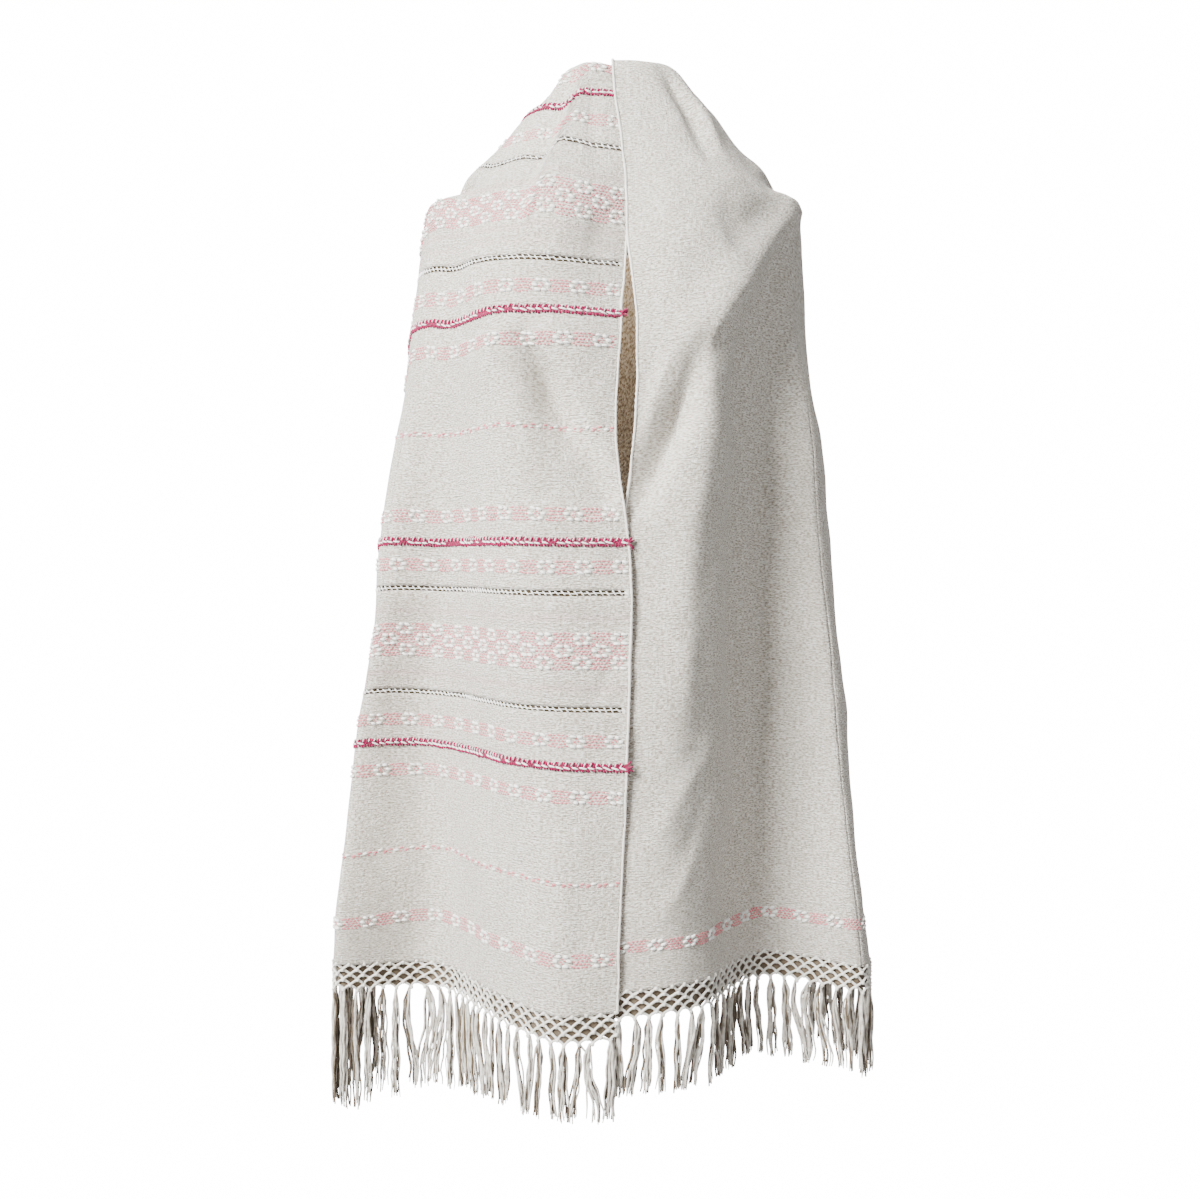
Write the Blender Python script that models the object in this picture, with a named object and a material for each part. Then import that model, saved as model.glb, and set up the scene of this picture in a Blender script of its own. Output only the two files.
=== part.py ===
# Rebozo shawl hung over the shoulders as a cape, with no wearer inside it.
# Metres. X runs across the shoulders, Y from the front to the back, Z up.
# The origin is on the underside of the cloth at the top of the neck, where it is held up.
import bpy
import bmesh
import math
import numpy as np

for old in list(bpy.data.objects):
    bpy.data.objects.remove(old, do_unlink=True)

# ---- driving sizes
CLOTH_WIDTH = 0.50      # selvage to selvage, measured along every weft row
HEM_T = 0.957           # the last weft row, counted from the front edge of the neck cap
CENTRE_T = -0.110       # the middle weft row, which hangs straight down the back
WALL = 0.002            # thickness of the cloth
FRINGE_WALL = 0.003     # thickness of the fringe's solid
SEAM = 0.0005           # gap between neighbouring stretches
NET_HEIGHT = 0.027      # knotted net below each hem
FRONT_COLS = 20         # faces across a front stretch
BACK_COLS = 10          # faces from the side to the outer selvage
HEM_COLS = 30           # faces across a net or a fringe
TOP_STEP = 0.020        # row spacing above FINE_T, where the cloth turns over the shoulder
LOW_STEP = 0.055        # row spacing below it
FINE_T = 0.330

# ---- one row per weft row that was measured. "t" is the row's drop below the neck cap's front
# edge, negative on the cap. Each guide is (out, y, z): "out" is the distance from the centre
# plane towards the row's own side, so a negative value reaches across the centre.
GUIDES = ("inner", "chest", "bend", "hollow", "side", "blade", "edge")
LEFT_ROWS = (
    # t, inner, chest, bend, hollow, side, blade, edge
    (-0.110, (0.000, 0.056, -0.003), (0.000, 0.060, -0.012), (0.000, 0.065, -0.032),
     (0.000, 0.072, -0.062), (0.000, 0.080, -0.100), (0.000, 0.096, -0.230), (0.000, 0.100, -0.520)),
    (-0.085, (-0.001, 0.032, -0.004), (0.014, 0.040, -0.002), (0.027, 0.052, -0.012),
     (0.030, 0.063, -0.040), (0.033, 0.075, -0.082), (0.040, 0.095, -0.215), (0.048, 0.102, -0.520)),
    (-0.055, (-0.010, 0.000, -0.004), (0.018, 0.005, -0.001), (0.042, 0.018, -0.007),
     (0.053, 0.036, -0.030), (0.060, 0.058, -0.068), (0.072, 0.093, -0.200), (0.085, 0.105, -0.510)),
    (-0.025, (-0.022, -0.029, -0.005), (0.015, -0.028, 0.000), (0.045, -0.016, -0.006),
     (0.062, 0.006, -0.024), (0.070, 0.036, -0.052), (0.094, 0.088, -0.190), (0.112, 0.108, -0.500)),
    (0.000, (-0.030, -0.050, -0.006), (0.012, -0.055, -0.001), (0.044, -0.046, -0.002),
     (0.060, -0.020, -0.023), (0.074, 0.008, -0.032), (0.108, 0.082, -0.180), (0.132, 0.110, -0.490)),
    (0.037, (-0.026, -0.062, -0.036), (0.020, -0.067, -0.035), (0.055, -0.060, -0.038),
     (0.082, -0.036, -0.042), (0.095, -0.002, -0.050), (0.136, 0.076, -0.190), (0.158, 0.110, -0.480)),
    (0.075, (-0.022, -0.078, -0.074), (0.028, -0.084, -0.073), (0.070, -0.076, -0.078),
     (0.106, -0.046, -0.081), (0.124, -0.006, -0.082), (0.166, 0.070, -0.210), (0.182, 0.108, -0.480)),
    (0.110, (-0.019, -0.094, -0.113), (0.036, -0.102, -0.111), (0.084, -0.094, -0.115),
     (0.130, -0.056, -0.116), (0.154, -0.012, -0.110), (0.196, 0.064, -0.235), (0.202, 0.106, -0.480)),
    (0.136, (-0.018, -0.104, -0.137), (0.044, -0.116, -0.134), (0.094, -0.106, -0.136),
     (0.146, -0.064, -0.137), (0.160, -0.018, -0.134), (0.220, 0.054, -0.255), (0.216, 0.102, -0.480)),
    (0.143, (-0.018, -0.106, -0.144), (0.046, -0.120, -0.141), (0.096, -0.109, -0.142),
     (0.149, -0.066, -0.143), (0.188, -0.020, -0.140), (0.219, 0.052, -0.260), (0.218, 0.102, -0.480)),
    (0.158, (-0.017, -0.110, -0.159), (0.048, -0.127, -0.156), (0.100, -0.116, -0.156),
     (0.152, -0.068, -0.156), (0.195, -0.023, -0.154), (0.219, 0.049, -0.268), (0.218, 0.103, -0.479)),
    (0.190, (-0.016, -0.116, -0.192), (0.052, -0.140, -0.191), (0.106, -0.128, -0.187),
     (0.156, -0.072, -0.185), (0.197, -0.030, -0.184), (0.220, 0.044, -0.285), (0.212, 0.108, -0.480)),
    (0.270, (-0.010, -0.142, -0.273), (0.058, -0.155, -0.270), (0.112, -0.138, -0.268),
     (0.164, -0.072, -0.272), (0.200, -0.036, -0.270), (0.228, 0.042, -0.350), (0.204, 0.116, -0.500)),
    (0.388, (-0.004, -0.152, -0.390), (0.060, -0.156, -0.387), (0.112, -0.136, -0.384),
     (0.170, -0.060, -0.388), (0.222, -0.030, -0.388), (0.243, 0.050, -0.440), (0.200, 0.124, -0.530)),
    (0.510, (-0.018, -0.153, -0.513), (0.058, -0.154, -0.513), (0.108, -0.128, -0.512),
     (0.178, -0.034, -0.513), (0.241, -0.020, -0.514), (0.256, 0.056, -0.540), (0.202, 0.130, -0.590)),
    (0.715, (-0.015, -0.155, -0.719), (0.052, -0.150, -0.718), (0.104, -0.114, -0.717),
     (0.200, 0.010, -0.717), (0.275, 0.000, -0.717), (0.262, 0.066, -0.730), (0.205, 0.130, -0.760)),
    (0.904, (-0.007, -0.150, -0.905), (0.052, -0.152, -0.907), (0.105, -0.112, -0.903),
     (0.198, 0.010, -0.905), (0.294, -0.018, -0.907), (0.276, 0.060, -0.905), (0.215, 0.120, -0.915)),
    (0.957, (-0.006, -0.149, -0.958), (0.052, -0.150, -0.962), (0.105, -0.110, -0.958),
     (0.198, 0.010, -0.958), (0.298, -0.012, -0.952), (0.283, 0.062, -0.953), (0.220, 0.120, -0.955)),
)
RIGHT_ROWS = (
    (-0.110, (0.000, 0.055, 0.000), (0.000, 0.060, -0.012), (0.000, 0.065, -0.032),
     (0.000, 0.072, -0.062), (0.000, 0.080, -0.100), (0.000, 0.096, -0.230), (0.000, 0.100, -0.520)),
    (-0.085, (0.000, 0.032, 0.002), (0.014, 0.040, 0.001), (0.028, 0.052, -0.011),
     (0.032, 0.063, -0.040), (0.035, 0.075, -0.082), (0.042, 0.095, -0.215), (0.050, 0.102, -0.520)),
    (-0.055, (0.000, 0.000, 0.002), (0.024, 0.005, 0.001), (0.048, 0.018, -0.006),
     (0.059, 0.036, -0.030), (0.066, 0.058, -0.068), (0.076, 0.093, -0.200), (0.088, 0.105, -0.510)),
    (-0.025, (0.000, -0.030, 0.002), (0.028, -0.028, 0.001), (0.056, -0.016, -0.005),
     (0.073, 0.006, -0.022), (0.084, 0.036, -0.050), (0.100, 0.088, -0.190), (0.116, 0.108, -0.500)),
    (0.000, (0.000, -0.056, 0.001), (0.030, -0.056, 0.000), (0.058, -0.046, -0.001),
     (0.076, -0.020, -0.012), (0.092, 0.008, -0.025), (0.116, 0.082, -0.180), (0.136, 0.110, -0.490)),
    (0.037, (0.002, -0.071, -0.036), (0.038, -0.070, -0.035), (0.070, -0.060, -0.036),
     (0.094, -0.036, -0.038), (0.114, -0.002, -0.049), (0.144, 0.076, -0.190), (0.162, 0.110, -0.480)),
    (0.075, (0.007, -0.088, -0.074), (0.046, -0.087, -0.073), (0.082, -0.076, -0.073),
     (0.116, -0.046, -0.074), (0.138, -0.006, -0.081), (0.172, 0.070, -0.210), (0.184, 0.108, -0.480)),
    (0.110, (0.011, -0.102, -0.109), (0.054, -0.103, -0.108), (0.094, -0.092, -0.107),
     (0.136, -0.056, -0.105), (0.167, -0.012, -0.109), (0.198, 0.064, -0.235), (0.202, 0.106, -0.480)),
    (0.136, (0.013, -0.112, -0.136), (0.058, -0.115, -0.134), (0.102, -0.104, -0.132),
     (0.152, -0.064, -0.130), (0.177, -0.018, -0.134), (0.213, 0.054, -0.255), (0.216, 0.102, -0.480)),
    (0.143, (0.013, -0.114, -0.143), (0.059, -0.118, -0.141), (0.103, -0.107, -0.139),
     (0.154, -0.066, -0.137), (0.192, -0.020, -0.141), (0.213, 0.052, -0.260), (0.218, 0.102, -0.480)),
    (0.158, (0.014, -0.118, -0.158), (0.061, -0.125, -0.156), (0.106, -0.114, -0.153),
     (0.156, -0.068, -0.151), (0.195, -0.023, -0.154), (0.214, 0.049, -0.268), (0.218, 0.103, -0.479)),
    (0.190, (0.015, -0.124, -0.190), (0.064, -0.138, -0.187), (0.108, -0.126, -0.184),
     (0.156, -0.072, -0.182), (0.197, -0.030, -0.184), (0.214, 0.044, -0.285), (0.212, 0.108, -0.480)),
    (0.270, (0.023, -0.140, -0.270), (0.072, -0.152, -0.267), (0.114, -0.134, -0.264),
     (0.162, -0.070, -0.262), (0.192, -0.040, -0.262), (0.220, 0.040, -0.350), (0.202, 0.116, -0.500)),
    (0.388, (0.022, -0.146, -0.388), (0.070, -0.153, -0.386), (0.108, -0.134, -0.384),
     (0.156, -0.054, -0.382), (0.209, -0.040, -0.382), (0.231, 0.046, -0.440), (0.196, 0.122, -0.530)),
    (0.510, (0.006, -0.147, -0.510), (0.066, -0.152, -0.508), (0.100, -0.132, -0.507),
     (0.156, -0.042, -0.506), (0.219, -0.044, -0.507), (0.238, 0.040, -0.535), (0.196, 0.124, -0.585)),
    (0.715, (0.000, -0.148, -0.712), (0.060, -0.148, -0.709), (0.092, -0.126, -0.707),
     (0.160, -0.026, -0.706), (0.237, -0.050, -0.708), (0.250, 0.036, -0.725), (0.196, 0.116, -0.755)),
    (0.904, (-0.002, -0.145, -0.896), (0.056, -0.145, -0.892), (0.092, -0.122, -0.893),
     (0.160, -0.024, -0.892), (0.255, -0.060, -0.896), (0.262, 0.026, -0.902), (0.206, 0.106, -0.912)),
    (0.957, (-0.002, -0.144, -0.940), (0.056, -0.144, -0.935), (0.092, -0.122, -0.934),
     (0.160, -0.026, -0.934), (0.260, -0.062, -0.940), (0.268, 0.024, -0.950), (0.210, 0.104, -0.955)),
)

# ---- flutes of the hanging back: row, how far its outer selvage swings out (+) or in (-)
FLUTES = (
    (-0.110, 0.008), (-0.062, -0.008), (-0.012, 0.012), (0.044, -0.010), (0.100, 0.013),
    (0.160, -0.006), (0.240, 0.007), (0.330, -0.006), (0.440, 0.008), (0.570, -0.006),
    (0.690, 0.007), (0.820, -0.005), (0.957, 0.004),
)

# ---- reach of the fringe below the net: fraction of the width from the inner selvage, metres
FRINGE_LEFT = ((0.00, 0.068), (0.20, 0.072), (0.45, 0.088), (0.62, 0.112), (0.80, 0.120), (1.00, 0.110))
FRINGE_RIGHT = ((0.00, 0.074), (0.20, 0.078), (0.45, 0.080), (0.62, 0.084), (0.80, 0.086), (1.00, 0.080))


def slopes(knots, values):
    """Tangents of a smooth curve through the rows of values, one per knot."""
    gaps = np.diff(knots)
    rises = np.diff(values, axis=0) / gaps[:, None]
    inside = (rises[:-1] * gaps[1:, None] + rises[1:] * gaps[:-1, None]) / (gaps[:-1] + gaps[1:])[:, None]
    return np.vstack((rises[:1], inside, rises[-1:]))


def through(knots, values, tangents, at):
    """Cubic curve through the knots, taken at each value of at."""
    at = np.clip(np.asarray(at, float), knots[0], knots[-1])
    i = np.clip(np.searchsorted(knots, at, side="right") - 1, 0, len(knots) - 2)
    gap = (knots[i + 1] - knots[i])[:, None]
    f = ((at - knots[i])[:, None]) / gap
    a = (1 + 2 * f) * (1 - f) ** 2 * values[i]
    b = f * (1 - f) ** 2 * gap * tangents[i]
    c = f * f * (3 - 2 * f) * values[i + 1]
    d = f * f * (f - 1) * gap * tangents[i + 1]
    return a + b + c + d


class Half:
    """One half of the cloth: its weft rows, each 0.50 m long, from the table."""

    def __init__(self, rows, mirror):
        self.mirror = mirror
        self.t = np.array([row[0] for row in rows])
        self.g = np.array([[c for guide in row[1:] for c in guide] for row in rows])
        self.m = slopes(self.t, self.g)
        table = np.array(FLUTES)
        self.ft = table[:, 0]
        self.fv = table[:, 1:]
        self.fm = slopes(self.ft, self.fv)

    def row(self, t):
        """Dense points of one weft row, the length to each and the length at the side."""
        guides = through(self.t, self.g, self.m, [t])[0].reshape(len(GUIDES), 3)
        chord = np.sqrt(np.linalg.norm(np.diff(guides, axis=0), axis=1))
        knots = np.concatenate(([0.0], np.cumsum(chord)))
        fine = np.linspace(0.0, knots[-1], 141)
        points = through(knots, guides, slopes(knots, guides), fine)
        length = np.concatenate(([0.0], np.cumsum(np.linalg.norm(np.diff(points, axis=0), axis=1))))
        side = float(np.interp(knots[4], fine, length))
        return points, length, side

    def points(self, t, v):
        """Points of the outer face on row t, at distances v from the inner selvage."""
        points, length, side = self.row(t)
        v = np.asarray(v, float)
        got = np.stack([np.interp(v, length, points[:, k]) for k in range(3)], axis=1)
        beyond = np.maximum(v - length[-1], 0.0)[:, None]
        ends = points[-1] - points[-8]
        got = got + beyond * ends / np.linalg.norm(ends)
        swing = through(self.ft, self.fv, self.fm, [t])[0, 0]
        share = np.clip((v - side) / (CLOTH_WIDTH - side), 0.0, 1.0) ** 1.3
        out = np.stack((got[:, 0] * 0.7, got[:, 1] + 0.02), axis=1)
        out = out / np.maximum(np.linalg.norm(out, axis=1), 1e-6)[:, None]
        got[:, 0] += out[:, 0] * swing * share
        got[:, 1] += out[:, 1] * swing * share
        got[:, 0] *= self.mirror
        got[:, 2] += WALL
        return got

    def faces(self, t, v, wall):
        """Points of the outer face and, square to it, of the inner face one wall further in."""
        v = np.asarray(v, float)
        outer = self.points(t, v)
        low = max(t - 0.004, self.t[0])
        high = min(t + 0.004, self.t[-1])
        across = self.points(t, np.minimum(v + 0.003, CLOTH_WIDTH)) - self.points(t, np.maximum(v - 0.003, 0.0))
        down = self.points(high, v) - self.points(low, v)
        normal = np.cross(down, across) * self.mirror
        if t < CENTRE_T + 3 * SEAM:
            normal[:, 0] = 0.0      # the halves' walls meet upright in the middle of the nape
        normal = normal / np.linalg.norm(normal, axis=1)[:, None]
        return outer, outer - normal * wall


LEFT = Half(LEFT_ROWS, -1.0)
RIGHT = Half(RIGHT_ROWS, 1.0)


def row_places(first, last):
    """Rows of the mesh, closer together where the cloth turns over the shoulder."""
    upper = max(2, int(round((FINE_T - first) / TOP_STEP)))
    lower = max(2, int(round((last - FINE_T) / LOW_STEP)))
    high = [first + (FINE_T - first) * i / upper for i in range(upper)]
    low = [FINE_T + (last - FINE_T) * i / lower for i in range(lower + 1)]
    return high + low


def material(name, colour, rough):
    made = bpy.data.materials.new(name)
    made.use_nodes = True
    shader = made.node_tree.nodes["Principled BSDF"]
    shader.inputs["Base Color"].default_value = (*colour, 1.0)
    shader.inputs["Roughness"].default_value = rough
    return made


COTTON = material("cream_cotton", (0.72, 0.69, 0.63), 0.9)
CORD = material("cotton_warp_cord", (0.68, 0.65, 0.58), 0.9)

OBJECT = bpy.data.collections.new("rebozo_shawl")
bpy.context.scene.collection.children.link(OBJECT)


def sheet(name, table, cloth):
    """A walled sheet through a table of rows, each of (outer points, inner points)."""
    down = len(table) - 1
    across = len(table[0][0]) - 1
    bm = bmesh.new()
    bmesh.ops.create_grid(bm, x_segments=down, y_segments=across, size=0.5)
    place = {}
    for vert in bm.verts:
        place[vert] = (int(round((vert.co.x + 0.5) * down)), int(round((vert.co.y + 0.5) * across)))
    spot = {(i, j): vert for vert, (i, j) in place.items()}
    grown = bmesh.ops.extrude_face_region(bm, geom=bm.faces[:], use_keep_orig=True)["geom"]
    inner = [e for e in grown if isinstance(e, bmesh.types.BMVert)]
    for vert in inner:
        i = int(round((vert.co.x + 0.5) * down))
        j = int(round((vert.co.y + 0.5) * across))
        vert.co = table[i][1][j]
    for (i, j), vert in spot.items():
        vert.co = table[i][0][j]
    bmesh.ops.recalc_face_normals(bm, faces=bm.faces[:])
    mesh = bpy.data.meshes.new(name)
    bm.to_mesh(mesh)
    bm.free()
    thing = bpy.data.objects.new(name, mesh)
    OBJECT.objects.link(thing)
    thing.data.materials.append(cloth)
    return thing


def front(half):
    """Rows from the inner selvage to the side."""
    table = []
    places = row_places(CENTRE_T, HEM_T)
    places[0] += 2 * SEAM
    for t in places:
        side = half.row(t)[2]
        table.append(half.faces(t, np.linspace(0.0, side - SEAM / 2, FRONT_COLS + 1), WALL))
    return table


def behind(half):
    """Rows from the side to the outer selvage."""
    table = []
    for t in row_places(CENTRE_T, HEM_T):
        side = half.row(t)[2]
        table.append(half.faces(t, np.linspace(side + SEAM / 2, CLOTH_WIDTH, BACK_COLS + 1), WALL))
    return table


def below_hem(half, wall, drops):
    """The hem row repeated lower down, at one or more drops for each place across."""
    v = np.linspace(0.0, CLOTH_WIDTH, HEM_COLS + 1)
    table = []
    for drop in drops:
        fall = drop(v / CLOTH_WIDTH) if callable(drop) else drop
        level = []
        for face in half.faces(HEM_T, v, wall):
            hung = face.copy()
            hung[:, 2] -= fall
            level.append(hung)
        table.append(level)
    return table


def reach(rows):
    """Drop of the fringe's tip below the hem, across the width."""
    where = [row[0] for row in rows]
    size = [row[1] for row in rows]
    return lambda share: NET_HEIGHT + np.interp(share, where, size)


sheet("front_left", front(LEFT), COTTON)
sheet("front_right", front(RIGHT), COTTON)
left_back = behind(LEFT)
right_back = behind(RIGHT)
sheet("back", left_back[:0:-1] + right_back, COTTON)
for side_name, half, fringe in (("left", LEFT, FRINGE_LEFT), ("right", RIGHT, FRINGE_RIGHT)):
    sheet("net_" + side_name, below_hem(half, WALL, (2 * SEAM, NET_HEIGHT)), CORD)
    tips = reach(fringe)
    mid = lambda share, tips=tips: (NET_HEIGHT + SEAM + tips(share)) / 2
    sheet("fringe_" + side_name, below_hem(half, FRINGE_WALL, (NET_HEIGHT + SEAM, mid, tips)), CORD)
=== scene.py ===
# Looks of the rebozo shawl: a handwoven cotton cloth hung over the shoulders as a cape.
# Metres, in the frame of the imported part: X across, Y from the front to the back, Z up.
import math
import bpy
import bmesh
import numpy as np
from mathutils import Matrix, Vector


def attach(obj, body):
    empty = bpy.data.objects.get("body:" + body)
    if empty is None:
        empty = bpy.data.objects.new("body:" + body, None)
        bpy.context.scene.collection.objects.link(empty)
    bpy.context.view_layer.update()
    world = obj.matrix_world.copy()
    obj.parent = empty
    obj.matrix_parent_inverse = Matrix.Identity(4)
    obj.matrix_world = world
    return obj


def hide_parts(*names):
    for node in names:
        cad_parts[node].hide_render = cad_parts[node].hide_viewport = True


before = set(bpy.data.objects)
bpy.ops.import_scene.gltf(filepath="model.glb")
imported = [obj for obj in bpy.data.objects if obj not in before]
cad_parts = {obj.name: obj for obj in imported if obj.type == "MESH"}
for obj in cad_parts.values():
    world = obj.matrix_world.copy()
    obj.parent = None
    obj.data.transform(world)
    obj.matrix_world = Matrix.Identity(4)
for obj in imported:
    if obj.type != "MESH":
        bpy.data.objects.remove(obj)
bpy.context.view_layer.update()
RNG = np.random.default_rng(11)

# ---- sizes shared with the part
CLOTH_WIDTH = 0.50
HEM_T = 0.957
CENTRE_T = -0.110
WALL = 0.002
NET_HEIGHT = 0.027

# ---- the part's rows again, in millimetres: t, then (out, y, z) of each guide
GUIDES = ("inner", "chest", "bend", "hollow", "side", "blade", "edge")
LEFT_ROWS = (
    # t, inner, chest, bend, hollow, side, blade, edge
    (-110, (0, 56, -3), (0, 60, -12), (0, 65, -32),
     (0, 72, -62), (0, 80, -100), (0, 96, -230), (0, 100, -520)),
    (-85, (-1, 32, -4), (14, 40, -2), (27, 52, -12),
     (30, 63, -40), (33, 75, -82), (40, 95, -215), (48, 102, -520)),
    (-55, (-10, 0, -4), (18, 5, -1), (42, 18, -7),
     (53, 36, -30), (60, 58, -68), (72, 93, -200), (85, 105, -510)),
    (-25, (-22, -29, -5), (15, -28, 0), (45, -16, -6),
     (62, 6, -24), (70, 36, -52), (94, 88, -190), (112, 108, -500)),
    (0, (-30, -50, -6), (12, -55, -1), (44, -46, -2),
     (60, -20, -23), (74, 8, -32), (108, 82, -180), (132, 110, -490)),
    (37, (-26, -62, -36), (20, -67, -35), (55, -60, -38),
     (82, -36, -42), (95, -2, -50), (136, 76, -190), (158, 110, -480)),
    (75, (-22, -78, -74), (28, -84, -73), (70, -76, -78),
     (106, -46, -81), (124, -6, -82), (166, 70, -210), (182, 108, -480)),
    (110, (-19, -94, -113), (36, -102, -111), (84, -94, -115),
     (130, -56, -116), (154, -12, -110), (196, 64, -235), (202, 106, -480)),
    (136, (-18, -104, -137), (44, -116, -134), (94, -106, -136),
     (146, -64, -137), (160, -18, -134), (220, 54, -255), (216, 102, -480)),
    (143, (-18, -106, -144), (46, -120, -141), (96, -109, -142),
     (149, -66, -143), (188, -20, -140), (219, 52, -260), (218, 102, -480)),
    (158, (-17, -110, -159), (48, -127, -156), (100, -116, -156),
     (152, -68, -156), (195, -23, -154), (219, 49, -268), (218, 103, -479)),
    (190, (-16, -116, -192), (52, -140, -191), (106, -128, -187),
     (156, -72, -185), (197, -30, -184), (220, 44, -285), (212, 108, -480)),
    (270, (-10, -142, -273), (58, -155, -270), (112, -138, -268),
     (164, -72, -272), (200, -36, -270), (228, 42, -350), (204, 116, -500)),
    (388, (-4, -152, -390), (60, -156, -387), (112, -136, -384),
     (170, -60, -388), (222, -30, -388), (243, 50, -440), (200, 124, -530)),
    (510, (-18, -153, -513), (58, -154, -513), (108, -128, -512),
     (178, -34, -513), (241, -20, -514), (256, 56, -540), (202, 130, -590)),
    (715, (-15, -155, -719), (52, -150, -718), (104, -114, -717),
     (200, 10, -717), (275, 0, -717), (262, 66, -730), (205, 130, -760)),
    (904, (-7, -150, -905), (52, -152, -907), (105, -112, -903),
     (198, 10, -905), (294, -18, -907), (276, 60, -905), (215, 120, -915)),
    (957, (-6, -149, -958), (52, -150, -962), (105, -110, -958),
     (198, 10, -958), (298, -12, -952), (283, 62, -953), (220, 120, -955)),
)
RIGHT_ROWS = (
    (-110, (0, 55, 0), (0, 60, -12), (0, 65, -32),
     (0, 72, -62), (0, 80, -100), (0, 96, -230), (0, 100, -520)),
    (-85, (0, 32, 2), (14, 40, 1), (28, 52, -11),
     (32, 63, -40), (35, 75, -82), (42, 95, -215), (50, 102, -520)),
    (-55, (0, 0, 2), (24, 5, 1), (48, 18, -6),
     (59, 36, -30), (66, 58, -68), (76, 93, -200), (88, 105, -510)),
    (-25, (0, -30, 2), (28, -28, 1), (56, -16, -5),
     (73, 6, -22), (84, 36, -50), (100, 88, -190), (116, 108, -500)),
    (0, (0, -56, 1), (30, -56, 0), (58, -46, -1),
     (76, -20, -12), (92, 8, -25), (116, 82, -180), (136, 110, -490)),
    (37, (2, -71, -36), (38, -70, -35), (70, -60, -36),
     (94, -36, -38), (114, -2, -49), (144, 76, -190), (162, 110, -480)),
    (75, (7, -88, -74), (46, -87, -73), (82, -76, -73),
     (116, -46, -74), (138, -6, -81), (172, 70, -210), (184, 108, -480)),
    (110, (11, -102, -109), (54, -103, -108), (94, -92, -107),
     (136, -56, -105), (167, -12, -109), (198, 64, -235), (202, 106, -480)),
    (136, (13, -112, -136), (58, -115, -134), (102, -104, -132),
     (152, -64, -130), (177, -18, -134), (213, 54, -255), (216, 102, -480)),
    (143, (13, -114, -143), (59, -118, -141), (103, -107, -139),
     (154, -66, -137), (192, -20, -141), (213, 52, -260), (218, 102, -480)),
    (158, (14, -118, -158), (61, -125, -156), (106, -114, -153),
     (156, -68, -151), (195, -23, -154), (214, 49, -268), (218, 103, -479)),
    (190, (15, -124, -190), (64, -138, -187), (108, -126, -184),
     (156, -72, -182), (197, -30, -184), (214, 44, -285), (212, 108, -480)),
    (270, (23, -140, -270), (72, -152, -267), (114, -134, -264),
     (162, -70, -262), (192, -40, -262), (220, 40, -350), (202, 116, -500)),
    (388, (22, -146, -388), (70, -153, -386), (108, -134, -384),
     (156, -54, -382), (209, -40, -382), (231, 46, -440), (196, 122, -530)),
    (510, (6, -147, -510), (66, -152, -508), (100, -132, -507),
     (156, -42, -506), (219, -44, -507), (238, 40, -535), (196, 124, -585)),
    (715, (0, -148, -712), (60, -148, -709), (92, -126, -707),
     (160, -26, -706), (237, -50, -708), (250, 36, -725), (196, 116, -755)),
    (904, (-2, -145, -896), (56, -145, -892), (92, -122, -893),
     (160, -24, -892), (255, -60, -896), (262, 26, -902), (206, 106, -912)),
    (957, (-2, -144, -940), (56, -144, -935), (92, -122, -934),
     (160, -26, -934), (260, -62, -940), (268, 24, -950), (210, 104, -955)),
)

# ---- flutes of the hanging back: row, how far its outer selvage swings out (+) or in (-)
FLUTES = (
    (-0.110, 0.008), (-0.062, -0.008), (-0.012, 0.012), (0.044, -0.010), (0.100, 0.013),
    (0.160, -0.006), (0.240, 0.007), (0.330, -0.006), (0.440, 0.008), (0.570, -0.006),
    (0.690, 0.007), (0.820, -0.005), (0.957, 0.004),
)

# ---- sizes of the looks
LATTICE = 0.002        # spacing of the table the cloth's points are read from
CELL = 0.004           # spacing of the mesh's rows
FRONT_N, BACK_N = 92, 76   # mesh cells across a panel, and from its side fold to the outer selvage
THICK = 0.0011         # thickness of the woven cloth
OPEN_HALF = 0.0026     # half the height of an opening of the drawn-thread bands
OPEN_MARGIN = 0.006    # whole cloth left along the selvages beside an opening
REPEAT = 0.0368        # one flower and one block of the brocade
DASH = 0.0058          # one dash of the thin rows
TICK = 0.0030          # one pair of crimson ticks
STROKE = 0.0078        # one white stroke over the ticks
TWIST = 0.0062         # one pair of twisted warps
STEP = 0.0147          # one diamond of the net, and one tassel
NET_ROWS = 5           # half rows of diamonds
SELVAGE_CORD, NET_CORD, TASSEL_CORD, TUFT_CORD = 0.00125, 0.00128, 0.00118, 0.0009   # radii
LEFT_U = 0.0           # where each half's rows start in the cloth's own map
RIGHT_U = 2.0
AMBIENT = 0.52         # soft light from all round
BURNT_OUT = 16.0       # brightness of the paper round the piece, for the eye alone
FLOOR_Z = -1.30

# ---- bands of the left half: kind, middle row. P is a row of flowers and blocks, W three of them,
# M crimson twining, O drawn-thread work, T a thin row of dashes
BANDS = (
    ("P", 0.010), ("M", 0.0385), ("P", 0.0720), ("O", 0.099), ("W", 0.163), ("O", 0.222),
    ("P", 0.250), ("M", 0.2735), ("P", 0.303), ("T", 0.388), ("P", 0.471), ("M", 0.497),
    ("P", 0.521), ("O", 0.546), ("W", 0.602), ("O", 0.659), ("P", 0.690), ("M", 0.715),
    ("P", 0.745), ("T", 0.830), ("P", 0.904),
)
RIGHT_BANDS = (("P", 0.904),)
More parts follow.
